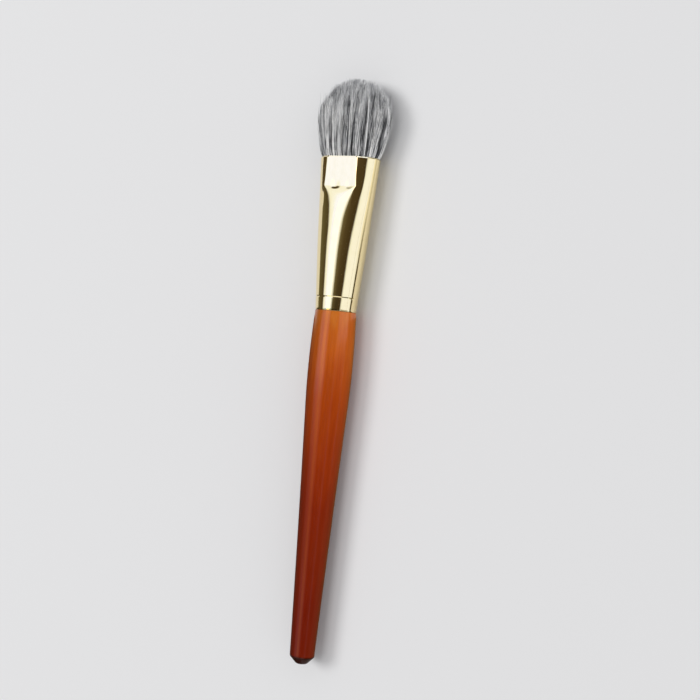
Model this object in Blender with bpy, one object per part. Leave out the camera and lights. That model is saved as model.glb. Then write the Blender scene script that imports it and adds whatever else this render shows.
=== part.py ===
"""Blush brush: a turned wooden handle, a flared and pressed metal ferrule and a domed oval head of hair.

The brush is modelled standing on its butt, with its axis along local +Z, its broad side along Y and its
pressed faces across X. Heights are measured from the butt. An empty then lays it down on the swell of its
ferrule: the butt points to -X, the hair to +X, and the pressed faces look up and down.
"""

import math
import random

import bmesh
import bpy
from mathutils import Vector
from mathutils.geometry import delaunay_2d_cdt

# Handle
HANDLE_LENGTH = 0.1012  # from the butt to the shoulder that meets the ferrule
BUTT_DIAMETER = 0.0071
BUTT_FLAT_DIAMETER = 0.0032
BUTT_CHAMFER_LENGTH = 0.0021
BUTT_EDGE_RADIUS = 0.0008
BELLY_DIAMETER = 0.0127
BELLY_HEIGHT = 0.0845
BELLY_ROUND_LENGTH = 0.0080  # where the straight taper rounds into the belly
TAPER_HOLLOW = 0.0001  # how far the long taper dips below a straight line
SHOULDER_DIAMETER = 0.0118  # the wood and the ferrule's foot share it
SHOULDER_EDGE_RADIUS = 0.0002
TENON_LENGTH = 0.0150
TENON_CHAMFER = 0.0008
GLUE_GROOVE_START = 0.0075  # above the shoulder
GLUE_GROOVE_LENGTH = 0.0035
GLUE_GROOVE_DEPTH = 0.0012

# Ferrule
FERRULE_LENGTH = 0.0437
FERRULE_WALL = 0.0004
FERRULE_EDGE_ROUND = 0.0001
CONE_MOUTH_DIAMETER = 0.0153  # the drawn cone at the rim, before its mouth is squeezed to an oval
SQUEEZE_START = 0.0146  # above the ferrule's foot, where the cone begins to flatten
MOUTH_WIDTH = 0.0187  # outside
MOUTH_CROWN = 0.0117  # outside thickness that the oval mouth would have unpressed
PRESS_LENGTH = 0.0085  # of the flat panel, from the rim to its crease
PRESS_THICKNESS_AT_RIM = 0.0099
PRESS_THICKNESS_AT_CREASE = 0.0092
PRESS_EDGE_SOFTNESS = 0.0001
SCOOP_LENGTH = 0.0120  # below the crease, where the crown is still drawn in
SCOOP_SOFTNESS = 0.0025
CRIMP_HEIGHT = 0.0036  # above the ferrule's foot
CRIMP_WIDTH = 0.0010
CRIMP_DEPTH = 0.0002

# Hair
HAIR_OUT = 0.0233  # from the rim to the top of the dome
HEAD_WIDTH = 0.0232
HEAD_THICKNESS = 0.0128
HEAD_BELLY_HEIGHT = 0.0106  # above the rim
TIP_CURL = 0.56  # how far the outermost strands lean in towards the dome
TIP_RAGGEDNESS = 0.0011  # how much shorter a strand may be than the dome
SLICE_THICKNESS = 0.0022
SLICE_DEPTH = 0.0008  # from the rim down to the slice that the strands stand in
STRAND_WIDTH = 0.00034
STRAND_SWELL = 1.1  # width at the belly, over the width at the foot
STRAND_THINNING = 0.75  # width between belly and tip, over the width at the foot
STRAND_GAP = 0.00018
STRAND_EDGE_MARGIN = 0.0001
STRAND_SEED = 7

# Roots
BINDING_HEIGHT = 0.0045  # above the plug's lower end
BINDING_LENGTH = 0.0030
BINDING_DEPTH = 0.0011
BINDING_EDGE_ROUND = 0.0002

FIT = 0.0003  # clearance between touching pieces
SIDES = 40
STRAND_SIDES = 3
TAPER_RINGS = 12
NECK_RINGS = 6
ARC_STEPS = 3
CRIMP_RINGS = 4
FLARE_RINGS = 5
SCOOP_RINGS = 7
TIP_SEARCH_STEPS = 30
SAME_POINT = 0.000001
SAME_FLAT_POINT = 1e-9
SHARP_ANGLE = math.radians(28)

# Places that follow from the sizes
FERRULE_FOOT = HANDLE_LENGTH + FIT
RIM = FERRULE_FOOT + FERRULE_LENGTH
CREASE = RIM - PRESS_LENGTH
SCOOP_FOOT = CREASE - SCOOP_LENGTH
TENON_END = HANDLE_LENGTH + TENON_LENGTH
SLICE_TOP = RIM - SLICE_DEPTH
SLICE_BOTTOM = SLICE_TOP - SLICE_THICKNESS
PLUG_BOTTOM = TENON_END + FIT
PLUG_TOP = SLICE_BOTTOM - FIT
BRUSH_LENGTH = RIM + HAIR_OUT
INSIDE = FERRULE_WALL + FIT  # inset of what stands inside the ferrule


def clear_scene():
    for thing in list(bpy.data.objects):
        bpy.data.objects.remove(thing, do_unlink=True)


def mix(start, end, share):
    return start + (end - start) * share


def share_of(value, low, high):
    """How far a value is from low to high, held between 0 and 1."""
    return min(max((value - low) / (high - low), 0.0), 1.0)


def smooth(share):
    return share * share * (3.0 - 2.0 * share)


def soft_min(first, second, softness):
    """The lower of two values, with the corner between them rounded."""
    overlap = max(softness - abs(first - second), 0.0)
    return min(first, second) - overlap * overlap / (4.0 * softness)


def spread(low, high, count):
    """Evenly spaced values from low to high, both included."""
    return [mix(low, high, step / count) for step in range(count + 1)]


def material(name, colour, roughness, metallic=0.0):
    made = bpy.data.materials.new(name)
    made.use_nodes = True
    shader = made.node_tree.nodes["Principled BSDF"]
    shader.inputs["Base Color"].default_value = (*colour, 1.0)
    shader.inputs["Roughness"].default_value = roughness
    shader.inputs["Metallic"].default_value = metallic
    made.diffuse_color = (*colour, 1.0)
    return made


def add_object(name, mesh, finish, axis):
    mesh.materials.append(finish)
    thing = bpy.data.objects.new(name, mesh)
    bpy.context.collection.objects.link(thing)
    thing.parent = axis
    return thing


def arc_at(before, corner, after, radius):
    """Points of the arc that rounds one corner of an outline, from the side of before to that of after."""
    corner = Vector(corner)
    back = (Vector(before) - corner).normalized()
    ahead = (Vector(after) - corner).normalized()
    half = back.angle(ahead) / 2
    reach = radius / math.tan(half)
    centre = corner + (back + ahead).normalized() * (radius / math.sin(half))
    start = corner + back * reach - centre
    turn = (corner + ahead * reach - centre).angle_signed(start)
    points = []
    for step in range(ARC_STEPS + 1):
        angle = turn * step / ARC_STEPS
        cosine, sine = math.cos(angle), math.sin(angle)
        points.append(centre + Vector((start.x * cosine - start.y * sine, start.x * sine + start.y * cosine)))
    return points


def turned(name, profile, closed, finish, axis):
    """A turned piece. The profile's (radius, height) points run down its outer side."""
    mesh = bpy.data.meshes.new(name)
    edges = [(i, i + 1) for i in range(len(profile) - 1)]
    if closed:
        edges.append((len(profile) - 1, 0))
    mesh.from_pydata([(radius, 0.0, height) for radius, height in profile], edges, [])
    piece = add_object(name, mesh, finish, axis)
    screw = piece.modifiers.new("turning", "SCREW")
    screw.axis = "Z"
    screw.angle = math.tau
    screw.steps = SIDES
    screw.render_steps = SIDES
    screw.use_merge_vertices = True
    screw.merge_threshold = SAME_POINT
    screw.use_smooth_shade = True
    return piece


def lofted(name, rings, closed, finish, axis):
    """A skin through rings of points. It runs back into its first ring, or gets a cap at each end."""
    shape = bmesh.new()
    loops = [[shape.verts.new(point) for point in ring] for ring in rings]
    pairs = list(zip(loops, loops[1:]))
    if closed:
        pairs.append((loops[-1], loops[0]))
    else:
        shape.faces.new(loops[0])
        shape.faces.new(loops[-1])
    for lower, upper in pairs:
        for i in range(len(lower)):
            j = (i + 1) % len(lower)
            shape.faces.new((lower[i], lower[j], upper[j], upper[i]))
    return finished(name, shape, finish, axis)


def finished(name, shape, finish, axis):
    bmesh.ops.recalc_face_normals(shape, faces=shape.faces)
    mesh = bpy.data.meshes.new(name)
    shape.to_mesh(mesh)
    shape.free()
    mesh.shade_smooth()
    mesh.set_sharp_from_angle(angle=SHARP_ANGLE)
    return add_object(name, mesh, finish, axis)


# Handle


def handle_radius(height):
    """Half the handle's thickness: a long taper, a belly, and a short fall to the shoulder."""
    butt, belly, shoulder = BUTT_DIAMETER / 2, BELLY_DIAMETER / 2, SHOULDER_DIAMETER / 2
    if height >= BELLY_HEIGHT:
        fall = share_of(height, BELLY_HEIGHT, HANDLE_LENGTH)
        return mix(belly, shoulder, fall * fall)
    run = BELLY_HEIGHT - BUTT_CHAMFER_LENGTH
    slope = (belly - butt) / (run - BELLY_ROUND_LENGTH / 2)
    left = BELLY_HEIGHT - height
    if left < BELLY_ROUND_LENGTH:
        return belly - slope * left * left / (2 * BELLY_ROUND_LENGTH)
    straight = run - BELLY_ROUND_LENGTH
    along = (height - BUTT_CHAMFER_LENGTH) / straight
    return butt + slope * straight * along - 4 * TAPER_HOLLOW * along * (1 - along)


def tenon_radius(height):
    """The tenon follows the narrow way of the ferrule's bore, with its crimp, a clearance inside it."""
    return half_crown(height) - crimp_at(height) - INSIDE


def handle_profile():
    """From the top of the tenon down the outside to the middle of the butt, as (radius, height)."""
    end_radius = tenon_radius(TENON_END)
    groove_low = HANDLE_LENGTH + GLUE_GROOVE_START
    groove_high = groove_low + GLUE_GROOVE_LENGTH
    points = [
        (0.0, TENON_END),
        (end_radius - TENON_CHAMFER, TENON_END),
        (end_radius, TENON_END - TENON_CHAMFER),
        (tenon_radius(groove_high), groove_high),
        (tenon_radius(groove_high) - GLUE_GROOVE_DEPTH, groove_high),
        (tenon_radius(groove_low) - GLUE_GROOVE_DEPTH, groove_low),
        (tenon_radius(groove_low), groove_low),
    ]
    points += [(tenon_radius(height), height) for height in reversed(crimp_heights())]
    root = (tenon_radius(HANDLE_LENGTH), HANDLE_LENGTH)
    shoulder = (handle_radius(HANDLE_LENGTH), HANDLE_LENGTH)
    neck = spread(BELLY_HEIGHT, HANDLE_LENGTH, NECK_RINGS)[:-1]
    points.append(root)
    points += arc_at(root, shoulder, (handle_radius(neck[-1]), neck[-1]), SHOULDER_EDGE_RADIUS)
    points += [(handle_radius(height), height) for height in reversed(neck)]
    taper = spread(BUTT_CHAMFER_LENGTH, BELLY_HEIGHT, TAPER_RINGS)[1:-1]
    points += [(handle_radius(height), height) for height in reversed(taper)]
    corner = (BUTT_DIAMETER / 2, BUTT_CHAMFER_LENGTH)
    flat = (BUTT_FLAT_DIAMETER / 2, 0.0)
    points += arc_at((handle_radius(taper[0]), taper[0]), corner, flat, BUTT_EDGE_RADIUS)
    points += arc_at(corner, flat, (0.0, 0.0), BUTT_EDGE_RADIUS)
    points.append((0.0, 0.0))
    return points


def build_handle(axis):
    wood = material("lacquered_wood", (0.30, 0.055, 0.008), 0.3)
    return turned("handle", handle_profile(), False, wood, axis)


def build_tenon_glue(axis):
    """The ring of glue in the tenon's groove."""
    low = HANDLE_LENGTH + GLUE_GROOVE_START + FIT
    high = low + GLUE_GROOVE_LENGTH - 2 * FIT
    bottom = GLUE_GROOVE_DEPTH - FIT
    profile = [
        (tenon_radius(high), high),
        (tenon_radius(low), low),
        (tenon_radius(low) - bottom, low),
        (tenon_radius(high) - bottom, high),
    ]
    glue = material("glue", (0.72, 0.60, 0.36), 0.4)
    return turned("tenon_glue", profile, True, glue, axis)


# Ferrule


def half_width(height):
    flare = share_of(height, FERRULE_FOOT, RIM)
    return mix(SHOULDER_DIAMETER, MOUTH_WIDTH, flare) / 2


def half_crown(height):
    """The cone's flare, less what the squeeze takes from it on the way to the mouth."""
    cone = mix(SHOULDER_DIAMETER, CONE_MOUTH_DIAMETER, share_of(height, FERRULE_FOOT, RIM))
    squeeze = smooth(share_of(height, FERRULE_FOOT + SQUEEZE_START, RIM))
    return (cone - (CONE_MOUTH_DIAMETER - MOUTH_CROWN) * squeeze) / 2


def crimp_at(height):
    """How deep the crimp stands in the wall at this height."""
    off = abs(height - FERRULE_FOOT - CRIMP_HEIGHT) / (CRIMP_WIDTH / 2)
    return CRIMP_DEPTH * smooth(max(1.0 - off, 0.0))


def crimp_heights():
    middle = FERRULE_FOOT + CRIMP_HEIGHT
    return spread(middle - CRIMP_WIDTH / 2, middle + CRIMP_WIDTH / 2, CRIMP_RINGS)


def press_plane(height):
    """How far from the axis the press holds the crown, and how softly it rounds off there."""
    at_rim, at_crease = PRESS_THICKNESS_AT_RIM / 2, PRESS_THICKNESS_AT_CREASE / 2
    if height >= CREASE:
        return mix(at_crease, at_rim, share_of(height, CREASE, RIM)), PRESS_EDGE_SOFTNESS
    free = half_crown(SCOOP_FOOT) + SCOOP_SOFTNESS
    rise = share_of(CREASE - height, 0.0, SCOOP_LENGTH)
    return mix(at_crease, free, rise), mix(PRESS_EDGE_SOFTNESS, SCOOP_SOFTNESS, math.sqrt(rise))


def section(height, inset):
    """One ring of the ferrule's outer skin, drawn in by inset: a flattened oval with pressed faces."""
    width = half_width(height) - crimp_at(height) - inset
    crown = half_crown(height) - crimp_at(height) - inset
    plane, softness = press_plane(height)
    ring = []
    for step in range(SIDES):
        angle = math.tau * step / SIDES
        reach = soft_min(abs(crown * math.cos(angle)), plane - inset, softness)
        ring.append((math.copysign(reach, math.cos(angle)), width * math.sin(angle), height))
    return ring


def wall_heights(low, high):
    """The heights, between two others, where the ferrule's wall changes its shape."""
    heights = crimp_heights()
    heights += spread(heights[-1], SCOOP_FOOT, FLARE_RINGS)[1:]
    heights += spread(SCOOP_FOOT, CREASE, SCOOP_RINGS)[1:]
    heights.append(mix(CREASE, RIM, 0.5))
    return [low] + [height for height in heights if low < height < high] + [high]


def build_ferrule(axis):
    """One shell, open at both ends: up the outside, over the rim, down the bore and round the foot."""
    rounding = FERRULE_EDGE_ROUND
    walls = wall_heights(FERRULE_FOOT + rounding, RIM - rounding)
    rings = [section(FERRULE_FOOT, rounding)]
    rings += [section(height, 0.0) for height in walls]
    rings += [section(RIM, rounding), section(RIM, FERRULE_WALL - rounding)]
    rings += [section(height, FERRULE_WALL) for height in reversed(walls)]
    rings.append(section(FERRULE_FOOT, FERRULE_WALL - rounding))
    gold = material("gold_plate", (0.86, 0.66, 0.30), 0.12, 1.0)
    return lofted("ferrule", rings, True, gold, axis)


# Roots


def binding_span():
    low = PLUG_BOTTOM + BINDING_HEIGHT
    return low, low + BINDING_LENGTH


def build_hair_root_plug(axis):
    """The roots set in resin, with a waist where the thread goes round."""
    low, high = binding_span()
    rings = [section(height, INSIDE) for height in wall_heights(PLUG_BOTTOM, low)]
    rings += [section(low, INSIDE + BINDING_DEPTH), section(high, INSIDE + BINDING_DEPTH)]
    rings += [section(height, INSIDE) for height in wall_heights(high, PLUG_TOP)]
    resin = material("resin", (0.30, 0.20, 0.10), 0.35)
    return lofted("hair_root_plug", rings, False, resin, axis)


def build_root_binding(axis):
    """The wound thread, as one rounded band that lies in the plug's waist."""
    low, high = binding_span()
    low, high = low + FIT, high - FIT
    rounding = BINDING_EDGE_ROUND
    bed = INSIDE + BINDING_DEPTH - FIT
    rings = [
        section(low, INSIDE + rounding),
        section(low + rounding, INSIDE),
        section(high - rounding, INSIDE),
        section(high, INSIDE + rounding),
        section(high, bed - rounding),
        section(high - rounding, bed),
        section(low + rounding, bed),
        section(low, bed - rounding),
    ]
    thread = material("thread", (0.80, 0.76, 0.66), 0.9)
    return lofted("root_binding", rings, True, thread, axis)


# Hair


def feet_limits():
    """Half the width, crown and pressed thickness of the area where the strands' middles may stand."""
    inset = INSIDE + STRAND_WIDTH / 2 + STRAND_EDGE_MARGIN
    plane, _ = press_plane(SLICE_TOP)
    return half_width(SLICE_TOP) - inset, half_crown(SLICE_TOP) - inset, plane - inset


def strand_feet():
    """Where the strands stand: rows that fill the slice from edge to edge, each row evenly spaced."""
    width, crown, plane = feet_limits()
    pitch = STRAND_WIDTH + STRAND_GAP
    rows = max(int(2 * plane / pitch), 1)
    feet = []
    for x in spread(-plane, plane, rows):
        reach = width * math.sqrt(1 - (x / crown) ** 2)
        count = max(int(2 * reach / pitch), 1)
        feet += [(x, y) for y in spread(-reach, reach, count)]
    return feet


class Strand:
    """One strand's way up: it spreads from its foot to the head's belly, then leans in towards the dome."""

    def __init__(self, foot):
        width, crown, plane = feet_limits()
        self.foot = foot
        x, y = foot
        self.edge = min(max(abs(x) / plane, math.hypot(x / crown, y / width)), 1.0)
        ray = Vector((x / plane, y / width))
        if ray.length > 0:
            ray.normalize()
        thickness = (HEAD_THICKNESS - STRAND_SWELL * STRAND_WIDTH) / 2
        breadth = (HEAD_WIDTH - STRAND_SWELL * STRAND_WIDTH) / 2
        self.belly = (ray.x * self.edge * thickness, ray.y * self.edge * breadth)

    def lean(self, rise):
        """Share of the belly's spread that is left above it."""
        over = share_of(rise, HEAD_BELLY_HEIGHT, HAIR_OUT)
        return 1.0 - TIP_CURL * self.edge**2 * over**2

    def at(self, height):
        way = share_of(height, SLICE_TOP, RIM + HEAD_BELLY_HEIGHT)
        lean = self.lean(height - RIM)
        return [mix(foot, belly, way) * lean for foot, belly in zip(self.foot, self.belly)]

    def tip_rise(self):
        """Height above the rim where the strand meets the dome, an ellipse that stands on the belly."""
        low, high = HEAD_BELLY_HEIGHT, HAIR_OUT
        for _ in range(TIP_SEARCH_STEPS):
            middle = (low + high) / 2
            over = share_of(middle, HEAD_BELLY_HEIGHT, HAIR_OUT)
            if self.edge * self.lean(middle) < math.sqrt(1 - over * over):
                low = middle
            else:
                high = middle
        return low


def strand_rings(foot, chance):
    """Rings from a strand's foot up, and its tip."""
    strand = Strand(foot)
    top = RIM + strand.tip_rise() - TIP_RAGGEDNESS * chance.random() * strand.edge
    belly = RIM + HEAD_BELLY_HEIGHT
    phase = math.tau * chance.random()
    rings = []
    for height, swell in ((SLICE_TOP, 1.0), (belly, STRAND_SWELL), (mix(belly, top, 0.5), STRAND_THINNING)):
        x, y = strand.at(height)
        radius = STRAND_WIDTH / 2 * swell
        corners = [phase + math.tau * side / STRAND_SIDES for side in range(STRAND_SIDES)]
        rings.append([(x + radius * math.cos(a), y + radius * math.sin(a), height) for a in corners])
    x, y = strand.at(top)
    return rings, (x, y, top)


def fill_round_feet(shape, outline, feet):
    """The slice's top face: it is filled between its outline and the strands' feet."""
    verts = list(outline)
    loops = [range(len(outline))]
    owners = [-1] * len(outline)
    for number, foot in enumerate(feet):
        loops.append(range(len(verts), len(verts) + STRAND_SIDES))
        verts += foot
        owners += [number] * STRAND_SIDES
    edges = [(loop[i], loop[(i + 1) % len(loop)]) for loop in loops for i in range(len(loop))]
    flat = [Vector((vert.co.x, vert.co.y)) for vert in verts]
    found = delaunay_2d_cdt(flat, edges, [], 0, SAME_FLAT_POINT)
    triangles, sources = found[2], found[3]
    for triangle in triangles:
        corners = [sources[corner][0] for corner in triangle]
        held_by = {owners[corner] for corner in corners}
        if len(held_by) > 1 or held_by == {-1}:
            shape.faces.new([verts[corner] for corner in corners])


def build_hair_tuft(axis):
    """The strands and the slice of resin that they stand in, as one body."""
    chance = random.Random(STRAND_SEED)
    shape = bmesh.new()
    bottom = [shape.verts.new(point) for point in section(SLICE_BOTTOM, INSIDE)]
    top = [shape.verts.new(point) for point in section(SLICE_TOP, INSIDE)]
    shape.faces.new(reversed(bottom))
    for i in range(SIDES):
        j = (i + 1) % SIDES
        shape.faces.new((bottom[i], bottom[j], top[j], top[i]))
    feet = []
    for foot in strand_feet():
        rings, tip = strand_rings(foot, chance)
        loops = [[shape.verts.new(point) for point in ring] for ring in rings]
        end = shape.verts.new(tip)
        feet.append(loops[0])
        for lower, upper in zip(loops, loops[1:]):
            for i in range(STRAND_SIDES):
                j = (i + 1) % STRAND_SIDES
                shape.faces.new((lower[i], lower[j], upper[j], upper[i]))
        for i in range(STRAND_SIDES):
            shape.faces.new((loops[-1][i], loops[-1][(i + 1) % STRAND_SIDES], end))
    fill_round_feet(shape, top, feet)
    hair = material("hair", (0.22, 0.22, 0.23), 0.75)
    return finished("hair_tuft", shape, hair, axis)


def lying_height():
    """How far the brush reaches below its axis: to its belly, its head or the swell of its ferrule."""
    swell = max(half_crown(height) for height in wall_heights(FERRULE_FOOT, RIM))
    return max(swell, BELLY_DIAMETER / 2, HEAD_THICKNESS / 2)


def lay_down():
    """The brush's axis, level and just high enough for the brush, with its middle over the origin."""
    axis = bpy.data.objects.new("lying_axis", None)
    bpy.context.collection.objects.link(axis)
    axis.location = (-BRUSH_LENGTH / 2, 0.0, lying_height())
    axis.rotation_euler = (0.0, math.pi / 2, 0.0)
    return axis


def main():
    clear_scene()
    axis = lay_down()
    build_handle(axis)
    build_tenon_glue(axis)
    build_ferrule(axis)
    build_hair_root_plug(axis)
    build_root_binding(axis)
    build_hair_tuft(axis)
    bpy.context.view_layer.update()


main()
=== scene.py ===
"""Looks of the blush brush: polished gold ferrule, lacquered handle and a full head of mottled hair.

Everything is in metres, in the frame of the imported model. The brush lies along X with its butt to -X and
its hair to +X, its pressed faces up and down. Heights along the brush are measured from the butt.
"""

import math

import bpy
import numpy as np
from mathutils import Matrix, Vector


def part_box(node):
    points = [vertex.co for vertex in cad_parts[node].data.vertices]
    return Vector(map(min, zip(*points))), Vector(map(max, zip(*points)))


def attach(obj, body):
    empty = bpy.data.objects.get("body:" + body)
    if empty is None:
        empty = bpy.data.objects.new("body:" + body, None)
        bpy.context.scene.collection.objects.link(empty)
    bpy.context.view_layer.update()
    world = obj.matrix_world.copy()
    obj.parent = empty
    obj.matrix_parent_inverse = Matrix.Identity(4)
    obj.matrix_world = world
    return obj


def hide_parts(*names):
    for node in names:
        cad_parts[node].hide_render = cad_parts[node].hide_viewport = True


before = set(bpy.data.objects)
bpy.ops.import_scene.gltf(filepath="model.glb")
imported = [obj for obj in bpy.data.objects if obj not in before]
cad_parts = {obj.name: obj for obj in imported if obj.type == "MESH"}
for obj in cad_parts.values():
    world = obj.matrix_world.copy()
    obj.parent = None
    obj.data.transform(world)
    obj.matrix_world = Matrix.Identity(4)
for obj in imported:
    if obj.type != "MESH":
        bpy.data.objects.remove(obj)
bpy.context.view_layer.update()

# Sizes read from the frame
HANDLE_LOW, HANDLE_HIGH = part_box("handle")
FERRULE_LOW, FERRULE_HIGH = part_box("ferrule")
HAIR_LOW, HAIR_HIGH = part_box("hair_tuft")
BUTT_X = HANDLE_LOW.x
AXIS_Z = (HANDLE_LOW.z + HANDLE_HIGH.z) / 2
TENON_END = HANDLE_HIGH.x - BUTT_X
FERRULE_FOOT = FERRULE_LOW.x - BUTT_X
RIM = FERRULE_HIGH.x - BUTT_X
BELLY_DIAMETER = HANDLE_HIGH.z - HANDLE_LOW.z
MOUTH_WIDTH = FERRULE_HIGH.y - FERRULE_LOW.y
HEAD_WIDTH = HAIR_HIGH.y - HAIR_LOW.y
HEAD_THICKNESS = HAIR_HIGH.z - HAIR_LOW.z
HAIR_OUT = HAIR_HIGH.x - BUTT_X - RIM

# Handle
FIT = 0.0003
HANDLE_LENGTH = FERRULE_FOOT - FIT
HANDLE_AROUND = 160  # points of each ring
HANDLE_RINGS = 240
CRIMP_RINGS = 9
ARC_STEPS = 8  # of each rounded corner
BUTT_DIAMETER = 0.0071
BUTT_FLAT_DIAMETER = 0.0032
BUTT_CHAMFER_LENGTH = 0.0021
BUTT_EDGE_RADIUS = 0.0010
BELLY_HEIGHT = 0.0845
BELLY_ROUND_LENGTH = 0.0080
TAPER_HOLLOW = 0.0001
SHOULDER_DIAMETER = 0.0118
SHOULDER_EDGE_RADIUS = 0.00015
TENON_CHAMFER = 0.0008
GLUE_GROOVE_START = 0.0075
GLUE_GROOVE_LENGTH = 0.0035
GLUE_GROOVE_DEPTH = 0.0012
BUTT_SHADE_WAVER, BUTT_SHADE_FADE = 0.00012, 0.0005  # of the edge of the painted shade on the butt, above the butt's chamfer

# Ferrule
FERRULE_WALL = 0.0004
FERRULE_EDGE_ROUND = 0.00007
EDGE_STEPS = 4  # round the wall's edge at the shell's foot
CONE_MOUTH_DIAMETER = 0.0153
SQUEEZE_START = 0.0146
MOUTH_CROWN = 0.0117
PRESS_LENGTH = 0.0085
PRESS_THICKNESS_AT_RIM = 0.0099
PRESS_THICKNESS_AT_CREASE = 0.0092
PRESS_EDGE_SOFTNESS = 0.00012
SCOOP_LENGTH = 0.0120
SCOOP_SOFTNESS = 0.0025
SCOOP_SOFTENING_POWER = 0.75  # how soon below the crease the panel's edges grow soft
BITE_ABOVE, BITE_BELOW = 0.0032, 0.0011  # how far round the crease the press has bitten deeper
BITE_DROP = 0.0002  # the deepest place is this far below the crease
BITES = ((0.0015, 0.0012, 0.00011), (-0.0031, 0.0011, 0.00006))  # side, reach and depth of each
SHOULDER_SLANT = math.radians(30)
SHOULDER_CUT = 0.00009  # how far the press flattens the shoulders beside its panel
SHOULDER_FROM, SHOULDER_TO = 0.0070, 0.0060  # below the crease, and below the rim
RIM_BEVEL_DROP = 0.00036
RIM_BEVEL_INSET = 0.00029
RIM_BEVEL_ON_PANEL = 0.3  # the share of that inset which the pressed panels have
CRIMP_HEIGHT = 0.0036
CRIMP_WIDTH = 0.0005
CRIMP_DEPTH = 0.00009
CREASE = RIM - PRESS_LENGTH
SCOOP_FOOT = CREASE - SCOOP_LENGTH
SCOOP_MARGIN = 0.001  # below the scoop, where the close rings begin
FOOT_DROP = 0.00026  # the drawn shell reaches down to the wood's shoulder
PANEL_REACH = math.radians(42)  # to each side of a panel's middle, where the points stand closer
PANEL_STEPS, SIDE_STEPS = 150, 70
BORE_SKIP = 6  # the bore has one ring for this many of the outside

# Hair
HEAD_BELLY_HEIGHT = 0.0106
TIP_CURL = 0.2
SLICE_DEPTH = 0.0008
SLICE_THICKNESS = 0.0022
STRANDS_SUNK = 0.0001  # into the top of the slice
STRANDS = 13200
STRAND_WIDTH = 0.00011
STRAND_RINGS = 9
STRAND_SIDES = 3
STRAND_THINNING = ((0.0, 0.55, 0.8, 1.0), (1.0, 1.05, 0.85, 0.22))  # shares of length and of width
RING_SPACING_POWER = 1.3  # above 1, the rings of a strand stand closer near its root
LEAN_START = 0.0001  # below the rim, where the strands begin to lean out
OUTWARD_POWER = 0.65  # below 1, they lean out soonest near the rim
CLUMPS = 760
CLUMP_NARROWNESS = 0.35  # across the head's thickness, clumps are longer by one over this
CLUMPING = 0.42  # how far the strands of a clump draw together towards their tips
CLUMPING_POWER = 1.8  # above 1, they do so mostly near their tips
DOME_POWER = 2.3  # above 2, the head's outline is fuller than an ellipse
DOME_SEARCH_STEPS = 30
TIP_CLEARANCE = 0.00005  # between the highest tips and the top of the dome
FRAY = 0.0022  # below that outline, the height in which the tips end
CLUMP_FRAY, STRAND_FRAY = 0.4, 0.6  # shares of it: what a clump has together, and each strand alone
INNER_FRAY, OUTER_FRAY = 0.45, 2.0  # how much of it there is in the middle and at the sides of the head
WANDER = 0.00022  # how far the tips stray sideways
WILD_SHARE, WILD_WANDER = 0.25, 3.0  # the share of strands that stray further, and how much further
WAVE, WAVE_LENGTH = 0.00007, 5.0  # the wave along each strand, and how much of it there is in radians
STRAYS = 70
STRAY_CHOICE = 10  # they are chosen from this many times as many
STRAY_BIAS = 0.001  # more of them stand on the -Y side
STRAY_LENGTHS = (0.007, 0.015)
STRAY_BOWS = (0.0003, 0.0010)
STRAY_SLOPES = (0.10, 0.17)
STRAY_SPREAD = 0.3  # how far strays spread through the head's thickness
BLACK_SHARE, BLACK_SHADE, GREY_SHADE, SHADE_SPREAD = 0.14, 0.20, 0.475, 0.06
DARK_CLUMPS, MIDDLE_CLUMPS = 0.35, 0.30  # shares of all clumps; the rest are pale
DARK_CLUMP_SHADE, PALE_CLUMP_SHADE, CLUMP_SHADE_SPREAD = -0.35, 0.42, 0.08
HAIR_PIECES = 4
# How its tones change with the height above the rim: from, to, and the values there
ROOT_CONTRAST = (0.0, 0.010, 1.4, 0.55)
EVENED = (0.010, 0.0195, 1.0, 0.5)
PALER_BODY = (0.004, 0.013, 0.0, 0.11)
DARKER_DOME = (0.0125, 0.0195, 0.0, 0.28)
PALER_TIPS = (0.0180, 0.0222, 0.0, 0.18)
MIDDLE_TONE = 0.5
HAIR_SEED = 11

# The cell that a strand's sides and ends take in its map, which runs from 0 to 1 both ways
CELL_HEIGHTS, CELL_WIDTHS = (0.12, 0.88), (0.1, 0.9)
CELL_ENDS = ((0.1, 0.02, 0.9, 0.02, 0.5, 0.09), (0.1, 0.98, 0.9, 0.98, 0.5, 0.91))

SMALLEST, SMALLEST_SHARE = 1e-9, 0.0001

# Camera, as the photograph is taken, with its pixels at 700 by 700
PICTURE = 700
PIXELS_PER_METRE = 3493
LENS, SENSOR = 72.8, 36.0
VIEW_TURN = math.radians(30)  # to the -Y side from straight above
VIEW_ROLL = math.radians(5.6)
FOOT_PIXEL = (335.9, 310.4)  # middle of the ferrule's foot
CLIP_START, CLIP_END = 0.01, 20.0


def grey(level):
    """A grey that is a little warm."""
    return (level, level * 0.99, level * 0.955)


# Colours of the materials; a table gives the place of each on a run from 0 to 1
GOLD, PALE_GOLD = (0.93, 0.775, 0.43), (0.95, 0.80, 0.46)
STAIN = (  # from the butt to the ferrule
    (0.0, (0.165, 0.0070, 0.0010)), (0.17, (0.175, 0.0065, 0.0008)), (0.31, (0.210, 0.0120, 0.0006)),
    (0.47, (0.235, 0.0135, 0.0004)), (0.60, (0.305, 0.0260, 0.0003)), (0.74, (0.390, 0.0480, 0.0004)),
    (0.82, (0.430, 0.0620, 0.0012)), (0.89, (0.520, 0.0960, 0.0040)), (0.95, (0.545, 0.1140, 0.0070)),
    (1.0, (0.600, 0.1600, 0.0150)),
)
GRAIN_TINT, PORE_TINT = (0.62, 0.5, 0.45), (0.4, 0.3, 0.3)
# The first colour here is painted shade: near black, on the butt's chamfer
PAINTED_BUTT_SHADE, SHEEN_TINT = (0.018, 0.0022, 0.0024), (1.0, 0.22, 0.01, 1.0)
HAIR_TONES = (
    (0.0, (0.030, 0.030, 0.032)), (0.25, (0.17, 0.173, 0.178)), (0.5, (0.52, 0.525, 0.535)),
    (0.8, (0.90, 0.90, 0.90)), (1.0, (0.96, 0.955, 0.94)),
)
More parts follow.
